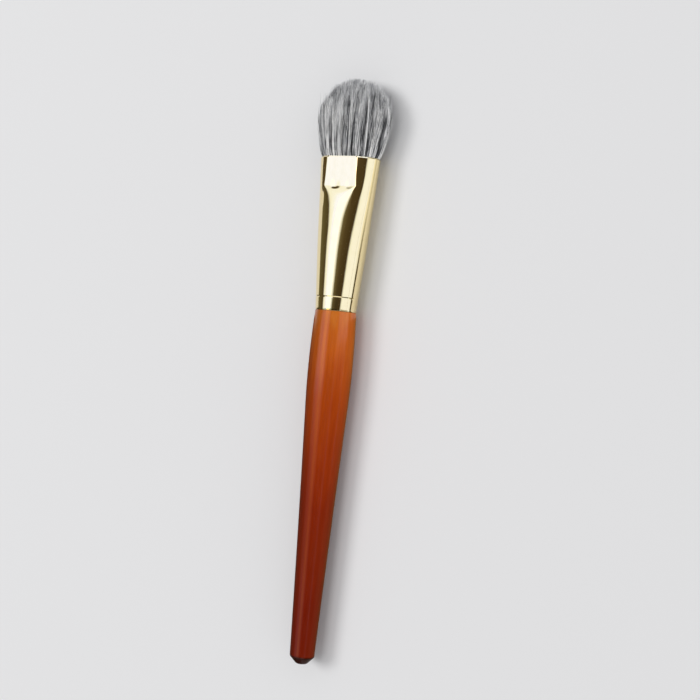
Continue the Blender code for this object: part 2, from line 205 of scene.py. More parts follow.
RESIN_TONES = ((0.35, (0.10, 0.055, 0.02)), (0.55, (0.30, 0.19, 0.09)), (0.7, (0.42, 0.34, 0.24)))
# The first colour is painted shade, in the grooves between the thread's turns
THREAD_GROOVE_SHADE, THREAD_COLOUR = (0.50, 0.46, 0.37), (0.80, 0.76, 0.66)
GLUE_TONES = ((0.3, (0.55, 0.42, 0.20)), (0.7, (0.80, 0.70, 0.45)))

# Floor and background
BACKGROUND = (0.76, 0.76, 0.765)
FLOOR_COLOUR = (0.775, 0.775, 0.78)
FLOOR_REACH = 4.0
SWEEP_FROM, SWEEP_TO = 0.30, 1.10  # from the middle, where the floor passes into the background
FILL, FILL_LEAN = (0.48, 0.48, 0.485), 0.6  # the sky's light, and how much more of it comes from -Y

# Lamps: direction, size, the share of white that they give a level surface, and what they light
LAMP_DISTANCE = 2.7
LAMPS = (
    ("key", (0.12, 0.44, 0.85), 1.08, 0.34, "floor"),
    ("top", (0.0, 0.0, 1.0), 1.08, 0.18, "floor"),
    ("front", (0.0, -0.5, 0.87), 1.5, 0.37, "brush"),
    ("tips", (0.94, 0.15, 0.32), 1.5, 0.22, "hair"),
)

# Colours of what only reflections see
PALE, DARK = grey(0.72), (0.075, 0.055, 0.028)
GLOW_EDGE, LEFT_GLOW, RIGHT_GLOW = (1.0, 1.08, 1.25), (1.05, 1.2, 1.9), (1.03, 1.12, 1.42)
WARM_GLOW, NEAR_GLOW = (3.4, 2.6, 1.9), (0.92, 0.99, 1.15)
BUTT_GLOW, BUTT_END = grey(1.1), (0.12, 0.11, 0.10)
HAIR_END_GLOW = (1.2, 1.35, 1.9)
OLIVE, DEEP_OLIVE, DARK_OLIVE = (0.25, 0.24, 0.09), (0.12, 0.11, 0.035), (0.08, 0.075, 0.025)

# Turns round the brush from the camera's direction, in degrees, right positive, and what shines there
BANDS = (
    (-180, grey(0.6)), (-150, PALE), (-120, PALE),
    (-115, (0.13, 0.115, 0.06)), (-97, (0.10, 0.085, 0.045)), (-81.5, (0.072, 0.058, 0.028)),
    (-75.5, GLOW_EDGE), (-68, (1.03, 1.15, 1.5)), (-63, LEFT_GLOW), (-57, LEFT_GLOW),
    (-51, WARM_GLOW), (-40, WARM_GLOW), (-36, LEFT_GLOW), (-30.8, GLOW_EDGE),
    (-23.8, (0.14, 0.115, 0.064)), (-8, (0.080, 0.057, 0.027)), (18.8, (0.050, 0.035, 0.015)),
    (25.8, GLOW_EDGE), (33, RIGHT_GLOW), (180, RIGHT_GLOW),
)

# What the left softbox is dimmed by towards the butt, at latitudes in degrees
FADING_FROM = -20
FADING = (
    (-18, (0.34, 0.36, 0.30)), (-14.6, (0.34, 0.36, 0.30)), (-13, (0.34, 0.17, 0.06)),
    (-9.5, (0.34, 0.28, 0.15)), (-6.5, (0.40, 0.45, 0.28)), (-3.9, (0.62, 0.72, 0.80)),
    (-2, (1.0, 1.0, 1.0)),
)

# Where the left softbox begins and ends, and the latitudes at which the glows off the ends take over
LEFT_FROM, LEFT_TO = (-85, -75), (0, 10)
BUTT_GLOW_AT, BUTT_END_AT = (-42, -34), (-66, -74)
HAIR_GLOW_AT, HAIR_END_AT = (44, 48), (60, 65)

# The dome that carries these bands
DOME_RADIUS, DOME_ROWS, DOME_AROUND = 3.0, 16, 48
DOME_DROP = 0.001  # of its edge, below the floor

# Strips that only reflections see, with their ends along X
CARD_LOW, CARD_HIGH = BUTT_X - 0.25, 0.08 - BUTT_X
CARD_FOOT = BUTT_X + FERRULE_FOOT - 0.0015
CARD_SHOULDER = CARD_FOOT - 0.0045
CARD_HANDLE = -0.035
CARD_LIFT = 0.0003  # above the floor
MOUTH_FROM, MOUTH_TO = 0.026, 0.046  # where the floor's strips take on their colour beside the mouth
SIDE_CARD_FADE = 0.023  # the length over which an upright strip changes colour at its mouth end
FLOOR_CARDS = (  # name, ends, near and far edge, colours at these edges and beside the mouth
    ("far_card", (CARD_HANDLE, CARD_HIGH), (-0.30, -0.05), RIGHT_GLOW, RIGHT_GLOW, RIGHT_GLOW),
    ("near_card", (CARD_SHOULDER, CARD_HIGH), (-0.05, -0.0271), RIGHT_GLOW, NEAR_GLOW, grey(0.95)),
    ("dark_card", (CARD_SHOULDER, CARD_HIGH), (-0.0271, -0.0185), DARK, DARK, grey(0.62)),
    ("left_dark_card", (CARD_LOW, CARD_FOOT), (0.6, 0.17), DARK, DARK, DARK),
    ("handle_left_card", (CARD_LOW, CARD_FOOT), (0.06, 0.003), DARK, DARK, DARK),
    ("handle_right_card", (CARD_LOW, CARD_SHOULDER), (-0.05, -0.003), OLIVE, DEEP_OLIVE, DARK),
    ("shoulder_card", (CARD_SHOULDER, CARD_FOOT), (-0.0185, -0.003), DEEP_OLIVE, DEEP_OLIVE, DARK),
    ("handle_far_card", (CARD_LOW, CARD_HANDLE), (-0.30, -0.05), grey(0.4), grey(0.25), DARK),
)
SIDE_CARDS = (  # name, ends, place across, bottom and top, colours towards the butt and the mouth
    ("mouth_left_card", (0.0565, 0.16), 0.05, (0.0075, 0.02), DARK, DARK),
    ("handle_left_side_card", (CARD_LOW, CARD_FOOT), 0.06, (CARD_LIFT, 0.03), DARK, DARK),
    (
        "handle_right_side_card", (CARD_LOW, CARD_SHOULDER), -0.06, (CARD_LIFT, 0.05),
        DARK_OLIVE, grey(0.5),
    ),
)


def mix(start, end, share):
    return start + (end - start) * share


def share_of(value, low, high):
    return np.clip((value - low) / (high - low), 0.0, 1.0)


def smooth(share):
    return share * share * (3.0 - 2.0 * share)


def soft_min(first, second, softness):
    overlap = np.maximum(softness - np.abs(first - second), 0.0)
    return np.minimum(first, second) - overlap * overlap / (4.0 * softness)


def placed(height, side, up):
    """World points from heights along the brush and distances beside and above its axis."""
    height, side, up = np.broadcast_arrays(height, side, up)
    return np.stack([BUTT_X + height, side, AXIS_Z + up], axis=-1)


# Meshes


def mesh_piece(name, points, faces, finish, slot, *nodes):
    mesh = bpy.data.meshes.new(name)
    mesh.from_pydata(points.tolist(), [], faces)
    mesh.validate()
    mesh.shade_smooth()
    mesh.materials.append(finish)
    piece = bpy.data.objects.new(name, mesh)
    bpy.context.scene.collection.objects.link(piece)
    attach(piece, "root")
    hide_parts(*nodes)
    return piece


def ring_faces(count, around, closed):
    """Quads between rings of points, with the last ring joined to the first where closed."""
    rows = np.arange(count if closed else count - 1)[:, None]
    cols = np.arange(around)[None, :]
    after = (cols + 1) % around
    above = (rows + 1) % count
    corners = ((rows, cols), (above, cols), (above, after), (rows, after))
    quads = np.stack([row * around + col for row, col in corners], axis=-1)
    return quads.reshape(-1, 4).tolist()


# Materials


class Nodes:
    """Short calls for a node material."""

    def __init__(self, name):
        self.material = bpy.data.materials.new(name)
        self.material.use_nodes = True
        self.tree = self.material.node_tree
        self.shader = self.tree.nodes["Principled BSDF"]

    def add(self, kind, inputs=(), **settings):
        node = self.tree.nodes.new(kind)
        for key, value in settings.items():
            setattr(node, key, value)
        for key, value in dict(inputs).items():
            if isinstance(value, bpy.types.NodeSocket):
                self.tree.links.new(value, node.inputs[key])
            else:
                node.inputs[key].default_value = value
        return node

    def maths(self, operation, *values):
        return self.add("ShaderNodeMath", enumerate(values), operation=operation).outputs[0]

    def ranged(self, value, low, high, to_low=0.0, to_high=1.0, kind="LINEAR"):
        inputs = {"Value": value, "From Min": low, "From Max": high, "To Min": to_low, "To Max": to_high}
        return self.add("ShaderNodeMapRange", inputs, interpolation_type=kind).outputs["Result"]

    def ramp(self, value, stops):
        node = self.add("ShaderNodeValToRGB", {"Fac": value})
        elements = node.color_ramp.elements
        while len(elements) < len(stops):
            elements.new(0.5)
        for element, (place, colour) in zip(elements, stops):
            element.position = place
            element.color = (*colour, 1.0)
        return node.outputs["Color"]

    def blend(self, factor, first, second, kind="MIX"):
        node = self.add("ShaderNodeMix", data_type="RGBA", blend_type=kind)
        for socket, value in ((0, factor), (6, first), (7, second)):
            if isinstance(value, bpy.types.NodeSocket):
                self.tree.links.new(value, node.inputs[socket])
            elif socket:
                node.inputs[socket].default_value = (*value, 1.0)
            else:
                node.inputs[socket].default_value = value
        return node.outputs[2]

    def place(self, scale=(1.0, 1.0, 1.0)):
        """The piece's own coordinates, in metres, stretched by scale."""
        where = self.add("ShaderNodeTexCoord").outputs["Object"]
        return self.add("ShaderNodeMapping", {"Vector": where, "Scale": scale}).outputs["Vector"]

    def noise(self, where, detail=3.0, roughness=0.5, distortion=0.0):
        inputs = {"Vector": where, "Scale": 1.0, "Detail": detail, "Roughness": roughness}
        return self.add("ShaderNodeTexNoise", {**inputs, "Distortion": distortion}).outputs["Fac"]

    def bump(self, height, distance, strength=1.0, before=None):
        node = self.add("ShaderNodeBump", {"Height": height, "Distance": distance, "Strength": strength})
        if before is not None:
            self.tree.links.new(before, node.inputs["Normal"])
        return node.outputs["Normal"]

    def set(self, **inputs):
        for key, value in inputs.items():
            socket = self.shader.inputs[key.replace("_", " ")]
            if isinstance(value, bpy.types.NodeSocket):
                self.tree.links.new(value, socket)
            else:
                socket.default_value = value
        return self.material


def gold_material():
    """Polished gold plate: near mirror, with fine drawing lines along the shell and faint marks."""
    n = Nodes("gold_plate")
    lines = n.noise(n.place((60.0, 9000.0, 9000.0)), 4.0, 0.6)
    cloud = n.noise(n.place((420.0, 700.0, 700.0)), 4.0, 0.55)
    marks = n.noise(n.place((2600.0, 900.0, 900.0)), 5.0, 0.7, 0.6)
    colour = n.blend(n.ranged(cloud, 0.35, 0.7), GOLD, PALE_GOLD)
    marked, lined = n.ranged(marks, 0.45, 0.75, 0.05, 0.11), n.ranged(lines, 0.4, 0.7, 0.0, 0.03)
    relief = n.bump(lines, 0.0000012, 0.35, n.bump(cloud, 0.000012, 0.5))
    polish = n.maths("ADD", marked, lined)
    return n.set(Base_Color=colour, Metallic=1.0, Roughness=polish, Normal=relief)


def wood_material():
    """Stained wood under lacquer: orange-brown above, dark red-brown below, and a butt darkened by painted
    shade.
    """
    n = Nodes("lacquered_wood")
    along = n.add("ShaderNodeSeparateXYZ", {0: n.place()}).outputs["X"]
    height = n.ranged(along, BUTT_X, BUTT_X + HANDLE_LENGTH)
    drift = n.noise(n.place((55.0, 260.0, 260.0)), 3.0, 0.5)
    stained = n.maths("ADD", height, n.ranged(drift, 0.3, 0.7, -0.05, 0.05))
    stain = n.ramp(stained, STAIN)
    grain = n.noise(n.place((90.0, 2600.0, 2600.0)), 6.0, 0.62, 0.4)
    dark_grain = n.blend(1.0, stain, GRAIN_TINT, "MULTIPLY")
    grained = n.blend(n.ranged(grain, 0.42, 0.66, 0.0, 0.35), stain, dark_grain)
    pores = n.noise(n.place((420.0, 9000.0, 9000.0)), 3.0, 0.5)
    dark_pores = n.blend(1.0, stain, PORE_TINT, "MULTIPLY")
    pored = n.blend(n.ranged(pores, 0.66, 0.74, 0.0, 0.45), grained, dark_pores)
    # Painted shade: below a wavering line at the top of the butt's chamfer the wood turns near black, with
    # less coat and a lower specular level
    butt_shade_edge = n.maths("ADD", along, n.ranged(drift, 0.3, 0.7, -BUTT_SHADE_WAVER, BUTT_SHADE_WAVER))
    butt_shade_line = BUTT_X + BUTT_CHAMFER_LENGTH
    butt_shaded = n.ranged(butt_shade_edge, butt_shade_line, butt_shade_line + BUTT_SHADE_FADE, 1.0, 0.0)
    colour = n.blend(butt_shaded, pored, PAINTED_BUTT_SHADE)
    peel = n.noise(n.place((900.0, 1400.0, 1400.0)), 2.0, 0.5)
    coat_normal = n.bump(peel, 0.000015, 0.5)
    fine = n.bump(grain, 0.00002, 0.4)
    wear = n.ranged(n.noise(n.place((300.0, 900.0, 900.0)), 4.0, 0.6), 0.35, 0.7, 0.36, 0.48)
    coat = n.ranged(butt_shaded, 0.0, 1.0, 0.75, 0.2)
    n.set(Coat_Weight=coat, Coat_Roughness=0.17, Coat_IOR=1.5, Coat_Normal=coat_normal)
    level = n.ranged(butt_shaded, 0.0, 1.0, 0.6, 0.3)
    n.set(Specular_IOR_Level=level, Specular_Tint=SHEEN_TINT)
    return n.set(Base_Color=colour, Roughness=wear, Normal=fine)


def hair_material():
    """Mottled hair: white and black near the ferrule, streaked greys above, and softer, paler tips.

    The mesh gives each strand a shade, and each of its points the place of the root and the rise above
    the rim. The colours are mottled by streaks along the strands and by broader bundles of them.
    """
    n = Nodes("hair")
    shade = n.add("ShaderNodeAttribute", attribute_name="shade").outputs["Fac"]
    origin = n.add("ShaderNodeAttribute", attribute_name="origin").outputs["Vector"]
    rise = n.add("ShaderNodeSeparateXYZ", {0: origin}).outputs["Z"]

    def streaks(across, deep, along, detail):
        scaled = n.add("ShaderNodeMapping", {"Vector": origin, "Scale": (across, deep, along)})
        return n.noise(scaled.outputs["Vector"], detail, 0.55)

    body = n.maths("ADD", shade, n.ranged(streaks(4600.0, 1200.0, 160.0, 2.0), 0.34, 0.66, -0.36, 0.36))
    bundles = n.ranged(streaks(3000.0, 900.0, 60.0, 1.0), 0.36, 0.64, -0.44, 0.44)
    at_root = n.ranged(rise, *ROOT_CONTRAST)
    mottled = n.maths("ADD", body, n.maths("MULTIPLY", bundles, at_root))
    evened = n.ranged(rise, *EVENED)
    mottled = n.maths("MULTIPLY", n.maths("SUBTRACT", mottled, MIDDLE_TONE), evened)
    mottled = n.maths("ADD", mottled, MIDDLE_TONE)
    mottled = n.maths("ADD", mottled, n.ranged(rise, *PALER_BODY))
    mottled = n.maths("SUBTRACT", mottled, n.ranged(rise, *DARKER_DOME))
    mottled = n.maths("ADD", mottled, n.ranged(rise, *PALER_TIPS))
    return n.set(Base_Color=n.ramp(mottled, HAIR_TONES), Roughness=0.6, Specular_IOR_Level=0.25)


def resin_material():
    """Amber resin with the roots of the hair showing in it as fine lines."""
    n = Nodes("resin")
    roots = n.noise(n.place((150.0, 7000.0, 7000.0)), 4.0, 0.6)
    shine = n.ranged(roots, 0.3, 0.7, 0.25, 0.5)
    relief = n.bump(roots, 0.00004)
    return n.set(Base_Color=n.ramp(roots, RESIN_TONES), Roughness=shine, Normal=relief)


def thread_material():
    """Cotton thread, wound close round the roots, with painted shade in the grooves between its turns."""
    n = Nodes("thread")
    wound = {"Vector": n.place(), "Scale": 800.0, "Distortion": 0.6}
    turns = n.add("ShaderNodeTexWave", wound, bands_direction="X")
    fibre = n.noise(n.place((5000.0, 2500.0, 2500.0)), 4.0, 0.6)
    # Painted shade: the thread is darker in the grooves between its turns
    colour = n.blend(turns.outputs["Fac"], THREAD_GROOVE_SHADE, THREAD_COLOUR)
    rounded = n.bump(turns.outputs["Fac"], 0.00012)
    return n.set(Base_Color=colour, Roughness=0.85, Normal=n.bump(fibre, 0.00004, 0.6, rounded))


def glue_material():
    """Dried wood glue, uneven and a little glossy."""
    n = Nodes("glue")
    lumps = n.noise(n.place((900.0, 900.0, 900.0)), 4.0, 0.6)
    shine = n.ranged(lumps, 0.3, 0.7, 0.3, 0.5)
    return n.set(Base_Color=n.ramp(lumps, GLUE_TONES), Roughness=shine, Normal=n.bump(lumps, 0.00008))


# Shapes that follow the frame's own


def half_width(height):
    return mix(SHOULDER_DIAMETER, MOUTH_WIDTH, share_of(height, FERRULE_FOOT, RIM)) / 2


def half_crown(height):
    cone = mix(SHOULDER_DIAMETER, CONE_MOUTH_DIAMETER, share_of(height, FERRULE_FOOT, RIM))
    squeeze = smooth(share_of(height, FERRULE_FOOT + SQUEEZE_START, RIM))
    return (cone - (CONE_MOUTH_DIAMETER - MOUTH_CROWN) * squeeze) / 2


def crimp_at(height):
    off = np.abs(height - FERRULE_FOOT - CRIMP_HEIGHT) / (CRIMP_WIDTH / 2)
    return CRIMP_DEPTH * np.clip(1.0 - off, 0.0, 1.0)


def press_plane(height):
    """How far from the axis the press holds the crown, and how softly it rounds off there."""
    at_rim, at_crease = PRESS_THICKNESS_AT_RIM / 2, PRESS_THICKNESS_AT_CREASE / 2
    panel = mix(at_crease, at_rim, share_of(height, CREASE, RIM))
    free = half_crown(SCOOP_FOOT) + SCOOP_SOFTNESS
    rise = share_of(CREASE - height, 0.0, SCOOP_LENGTH)
    plane = np.where(height >= CREASE, panel, mix(at_crease, free, rise))
    return plane, mix(PRESS_EDGE_SOFTNESS, SCOOP_SOFTNESS, rise**SCOOP_SOFTENING_POWER)


def handle_radius(height):
    butt, belly, shoulder = BUTT_DIAMETER / 2, BELLY_DIAMETER / 2, SHOULDER_DIAMETER / 2
    run = BELLY_HEIGHT - BUTT_CHAMFER_LENGTH
    slope = (belly - butt) / (run - BELLY_ROUND_LENGTH / 2)
    left = BELLY_HEIGHT - height
    straight = run - BELLY_ROUND_LENGTH
    along = (height - BUTT_CHAMFER_LENGTH) / straight
    taper = butt + slope * straight * along - 4 * TAPER_HOLLOW * along * (1 - along)
    rounded = belly - slope * left * left / (2 * BELLY_ROUND_LENGTH)
    fall = share_of(height, BELLY_HEIGHT, HANDLE_LENGTH)
    neck = mix(belly, shoulder, fall * fall)
    return np.where(height >= BELLY_HEIGHT, neck, np.where(left < BELLY_ROUND_LENGTH, rounded, taper))


# Ferrule


def ferrule_angles():
    """Close steps over the panels and their edges, wider ones round the sides."""
    arcs = []
    for middle in (0.0, math.pi):
        start, end, opposite = middle - PANEL_REACH, middle + PANEL_REACH, middle + math.pi - PANEL_REACH
        arcs.append(np.linspace(start, end, PANEL_STEPS, endpoint=False))
        arcs.append(np.linspace(end, opposite, SIDE_STEPS, endpoint=False))
    return np.concatenate(arcs)


def bite_at(height, side):
    """How much deeper than its panel the press has bitten, in two places at its crease."""
    deepest = CREASE - BITE_DROP
    above = smooth(share_of(height, CREASE + BITE_ABOVE, deepest))
    share = above * smooth(share_of(height, CREASE - BITE_BELOW, deepest))
    dents = (depth * np.exp(-(((side - middle) / reach) ** 2)) for middle, reach, depth in BITES)
    return share * sum(dents)


def shoulders_pressed(height, width, crown, side, up):
    """Flattens the four shoulders a little, near the crease."""
    near = smooth(share_of(height, CREASE - SHOULDER_FROM, CREASE))
    near = near * smooth(share_of(height, RIM, RIM - SHOULDER_TO))
    sine, cosine = math.sin(SHOULDER_SLANT), math.cos(SHOULDER_SLANT)
    cut = SHOULDER_CUT * near
    over = np.abs(side) * sine + np.abs(up) * cosine - np.hypot(width * sine, crown * cosine) + cut
    push = np.clip(over + cut, 0.0, 2 * cut) ** 2 / np.maximum(4 * cut, SMALLEST)
    return side - np.sign(side) * push * sine, up - np.sign(up) * push * cosine


def ferrule_ring(height, inset, on_panel, angles):
    width = half_width(height) - crimp_at(height) - inset
    crown = half_crown(height) - crimp_at(height) - inset
    plane, softness = press_plane(height)
    side = width * np.sin(angles)
    reach = soft_min(np.abs(crown * np.cos(angles)), plane - on_panel - bite_at(height, side), softness)
    return shoulders_pressed(height, width, crown, side, np.copysign(reach, np.cos(angles)))


def ferrule_heights():
    """Where the shell's rings stand: close at the crimp, the crease and the scoop."""
    crimp = FERRULE_FOOT + CRIMP_HEIGHT
    stretches = (  # where each stretch starts, and how many rings it has
        (FERRULE_FOOT - FOOT_DROP + FERRULE_EDGE_ROUND, 6),
        (crimp - CRIMP_WIDTH / 2, 1),
        (crimp, 1),
        (crimp + CRIMP_WIDTH / 2, 16),
        (SCOOP_FOOT - SCOOP_MARGIN, 56),
        (CREASE - BITE_BELOW, 16),
        (CREASE, 10),
        (CREASE + BITE_ABOVE, 12),
    )
    starts = [start for start, _ in stretches]
    ends = (*starts[1:], RIM - RIM_BEVEL_DROP)
    runs = zip(starts, ends, (count for _, count in stretches))
    return np.concatenate([np.linspace(*run, endpoint=False) for run in runs])


def foot_lip():
    """Rounds the edge of the wall at the shell's foot, from its bore to its outside."""
    outer = []
    for angle in np.linspace(0.0, math.pi / 2, EDGE_STEPS + 1)[1:]:
        rise = FERRULE_EDGE_ROUND * (1 - math.sin(angle))
        inset = FERRULE_EDGE_ROUND * (1 - math.cos(angle))
        outer.append((FERRULE_FOOT - FOOT_DROP + rise, inset))
    return [(height, FERRULE_WALL - inset) for height, inset in outer] + outer[::-1]


def keep_sharp(mesh, around, row):
    """Keeps the edges of one ring of points sharp."""
    ends = np.empty(2 * len(mesh.edges), dtype=np.int32)
    mesh.edges.foreach_get("vertices", ends)
    on_ring = (ends.reshape(-1, 2) // around == row).all(axis=1)
    for number in np.flatnonzero(on_ring):
        mesh.edges[int(number)].use_edge_sharp = True


def build_ferrule(finish):
    """One shell: up the outside, round the rim, down the bore and round the foot."""
    angles = ferrule_angles()
    outside = ferrule_heights()
    rows = [(height, 0.0, 0.0) for height in outside]
    bevel = len(rows)
    crimp = FERRULE_FOOT + CRIMP_HEIGHT
    creases = np.flatnonzero(np.abs(outside - crimp) < CRIMP_WIDTH / 2 + SMALLEST)
    rows.append((RIM - RIM_BEVEL_DROP, 0.0, 0.0))
    rows.append((RIM, RIM_BEVEL_INSET, RIM_BEVEL_INSET * RIM_BEVEL_ON_PANEL))
    rows.append((RIM - FERRULE_EDGE_ROUND, FERRULE_WALL, FERRULE_WALL))
    rows += [(height, FERRULE_WALL, FERRULE_WALL) for height in outside[::-BORE_SKIP]]
    rows += [(height, inset, inset) for height, inset in foot_lip()]
    rings = []
    for height, inset, on_panel in rows:
        side, up = ferrule_ring(height, inset, on_panel, angles)
        rings.append(placed(height, side, up))
    points = np.array(rings).reshape(-1, 3)
    faces = ring_faces(len(rows), len(angles), True)
    shell = mesh_piece("ferrule_shell", points, faces, finish, "gold_plate", "ferrule")
    for row in (*creases, bevel, bevel + 1):
        keep_sharp(shell.data, len(angles), row)
    return shell


# Handle


def arc(before, corner, after, radius):
    """The points of an arc that rounds one corner of a profile."""
    corner = Vector(corner)
    back = (Vector(before) - corner).normalized()
    ahead = (Vector(after) - corner).normalized()
    half = back.angle(ahead) / 2
    reach = radius / math.tan(half)
    centre = corner + (back + ahead).normalized() * (radius / math.sin(half))
    start = corner + back * reach - centre
    turn = (corner + ahead * reach - centre).angle_signed(start)
    points = []
    for step in range(ARC_STEPS + 1):
        cosine, sine = math.cos(turn * step / ARC_STEPS), math.sin(turn * step / ARC_STEPS)
        turned = Vector((start.x * cosine - start.y * sine, start.x * sine + start.y * cosine))
        points.append(tuple(centre + turned))
    return points


def tenon_radius(height):
    return float(half_crown(height) - crimp_at(height)) - FERRULE_WALL - FIT


def handle_profile():
    """From the top of the tenon down the outside to the middle of the butt, as (radius, height)."""
    end = tenon_radius(TENON_END)
    low = HANDLE_LENGTH + GLUE_GROOVE_START
    high = low + GLUE_GROOVE_LENGTH
    points = [
        (end - TENON_CHAMFER, TENON_END),
        (end, TENON_END - TENON_CHAMFER),
        (tenon_radius(high), high),
        (tenon_radius(high) - GLUE_GROOVE_DEPTH, high),
        (tenon_radius(low) - GLUE_GROOVE_DEPTH, low),
        (tenon_radius(low), low),
    ]
    crimp = FERRULE_FOOT + CRIMP_HEIGHT
    for height in np.linspace(crimp + CRIMP_WIDTH / 2, crimp - CRIMP_WIDTH / 2, CRIMP_RINGS):
        points.append((tenon_radius(height), float(height)))
    root = (tenon_radius(HANDLE_LENGTH), HANDLE_LENGTH)
    shoulder = (float(handle_radius(HANDLE_LENGTH)), HANDLE_LENGTH)
    below = HANDLE_LENGTH - 4 * SHOULDER_EDGE_RADIUS
    points.append(root)
    points += arc(root, shoulder, (float(handle_radius(below)), below), SHOULDER_EDGE_RADIUS)
    for height in np.linspace(below, BUTT_CHAMFER_LENGTH, HANDLE_RINGS)[1:-1]:
        points.append((float(handle_radius(height)), float(height)))
    corner = (BUTT_DIAMETER / 2, BUTT_CHAMFER_LENGTH)
    flat = (BUTT_FLAT_DIAMETER / 2, 0.0)
    last = points.pop()
    points += arc(last, corner, flat, BUTT_EDGE_RADIUS)
    points += arc(corner, flat, (0.0, 0.0), BUTT_EDGE_RADIUS)
    return points


def build_handle(finish):
    """One turned piece, closed at the tenon's end and at the butt by fans."""
    around = HANDLE_AROUND
    angles = np.linspace(0.0, math.tau, around, endpoint=False)
    profile = np.array(handle_profile())
    radius, height = profile[:, :1], profile[:, 1:]
    points = placed(height, radius * np.sin(angles), radius * np.cos(angles)).reshape(-1, 3)
    faces = ring_faces(len(profile), around, False)
    faces = [face[::-1] for face in faces]
    top, bottom = len(points), len(points) + 1
    points = np.vstack([points, placed(TENON_END, 0.0, 0.0), placed(0.0, 0.0, 0.0)])
    last = (len(profile) - 1) * around
    for i in range(around):
        j = (i + 1) % around
        faces.append([top, i, j][::-1])
        faces.append([bottom, last + j, last + i][::-1])
    return mesh_piece("turned_handle", points, faces, finish, "lacquered_wood", "handle")


# Hair


def hair_feet(chance):
    """Where the strands leave the slice, evenly filled, and the half sizes of that area."""
    plane, _ = press_plane(RIM - SLICE_DEPTH)
    inset = FERRULE_WALL + STRAND_WIDTH
    width, crown, thickness = (float(half) - inset for half in (half_width(RIM), half_crown(RIM), plane))
    feet = chance.uniform(-1.0, 1.0, (4 * STRANDS, 2)) * (width, thickness)
    inside = np.hypot(feet[:, 0] / width, feet[:, 1] / crown) < 1.0
    return feet[inside][:STRANDS], width, crown, thickness


def hair_courses(chance):
    """Each strand's (side, up) about the axis and its rise above the rim, ring by ring."""
    feet, width, crown, thickness = hair_feet(chance)
    count = len(feet)
    side, up = feet.T
    outward = np.maximum(np.abs(up) / thickness, np.hypot(side / width, up / crown))
    edge = np.clip(outward, SMALLEST_SHARE, 1.0)
    ray = feet / (width, thickness)
    ray /= np.maximum(np.linalg.norm(ray, axis=1, keepdims=True), SMALLEST_SHARE)
    spread = np.array((HEAD_WIDTH, HEAD_THICKNESS)) / 2 - STRAND_WIDTH
    belly = ray * edge[:, None] * spread
    low, high = np.full(count, HEAD_BELLY_HEIGHT), np.full(count, HAIR_OUT)
    for _ in range(DOME_SEARCH_STEPS):
        middle = (low + high) / 2
        over = share_of(middle, HEAD_BELLY_HEIGHT, HAIR_OUT)
        outline = (1 - over**DOME_POWER) ** (1 / DOME_POWER)
        inside = edge * (1 - TIP_CURL * edge**2 * over**2) < outline
        low, high = np.where(inside, middle, low), np.where(inside, high, middle)
    owner = nearest_clump(feet, chance)
    frayed = CLUMP_FRAY * chance.random(count)[owner] + STRAND_FRAY * chance.random(count)
    short = FRAY * frayed * mix(INNER_FRAY, OUTER_FRAY, edge)
    tip = np.minimum(low - short, HAIR_OUT - TIP_CLEARANCE)
    ways = np.linspace(0.0, 1.0, STRAND_RINGS + 1) ** RING_SPACING_POWER
    rise = -SLICE_DEPTH + (tip[:, None] + SLICE_DEPTH) * ways
    over = share_of(rise, HEAD_BELLY_HEIGHT, HAIR_OUT)
    lean = 1 - TIP_CURL * edge[:, None] ** 2 * over**2
    reached = share_of(rise, -LEAN_START, HEAD_BELLY_HEIGHT)[..., None] ** OUTWARD_POWER
    course = mix(feet[:, None, :], belly[:, None, :], reached) * lean[..., None]
    together = CLUMPING * (ways**CLUMPING_POWER)[None, :, None]
    course = mix(course, course[owner], together)
    wander = chance.normal(0.0, WANDER, (count, 1, 2))
    wander *= np.where(chance.random((count, 1, 1)) < WILD_SHARE, WILD_WANDER, 1.0)
    phase = chance.uniform(0.0, math.tau, (count, 1, 2))
    wave = np.sin(phase + WAVE_LENGTH * ways[None, :, None]) - np.sin(phase)
    course += (wander + WAVE * wave) * ways[None, :, None]
    return feet, np.clip(course, -spread, spread), rise, owner


def nearest_clump(feet, chance):
    """For each strand, the number of the strand that its clump gathers round."""
    leaders = chance.choice(len(feet), CLUMPS, replace=False)
    apart = (feet[:, None, :] - feet[None, leaders, :]) * (1.0, CLUMP_NARROWNESS)
    return leaders[np.argmin(np.linalg.norm(apart, axis=2), axis=1)]


def add_strays(feet, course, rise, chance):
    """Lets a few of the outermost strands stand out from the head's sides near the mouth."""
    outer = np.argsort(np.abs(feet[:, 0] - STRAY_BIAS))[-STRAY_CHOICE * STRAYS:]
    chosen = chance.choice(outer, STRAYS, replace=False)
    length = chance.uniform(*STRAY_LENGTHS, STRAYS)[:, None]
    ways = np.linspace(0.0, 1.0, STRAND_RINGS + 1)
    rise[chosen] = -SLICE_DEPTH + length * ways
    out = chance.uniform(*STRAY_BOWS, STRAYS)[:, None] * np.sin(math.pi / 2 * ways)
    slope = chance.uniform(*STRAY_SLOPES, STRAYS)[:, None]
    side = feet[chosen, :1] + np.sign(feet[chosen, :1]) * (out + slope * length * ways)
    limit = HEAD_WIDTH / 2 - STRAND_WIDTH
    course[chosen, :, 0] = np.clip(side, -limit, limit)
    course[chosen, :, 1] = feet[chosen, 1:] * (1 + STRAY_SPREAD * ways)


def strand_cells(count):
    """A map that lays each strand out in a cell of its own: round it one way, root to tip the other."""
    across = math.ceil(math.sqrt(count))
    number = np.arange(count)
    corner = np.stack([number % across, number // across], axis=1) / across
    ring, side = np.arange(STRAND_RINGS)[:, None], np.arange(STRAND_SIDES)[None, :]
    low, high = (mix(*CELL_HEIGHTS, (ring + end) / STRAND_RINGS) for end in (0, 1))
    left, right = (mix(*CELL_WIDTHS, (side + end) / STRAND_SIDES) for end in (0, 1))
    quads = np.stack(np.broadcast_arrays(left, low, left, high, right, high, right, low), axis=-1)
    ends = np.array(CELL_ENDS).reshape(1, 2, 3, 2)
    sides = corner[:, None, :] + quads.reshape(1, -1, 2) / across
    return sides.reshape(-1, 2), (corner[:, None, None, :] + ends / across).reshape(-1, 2)


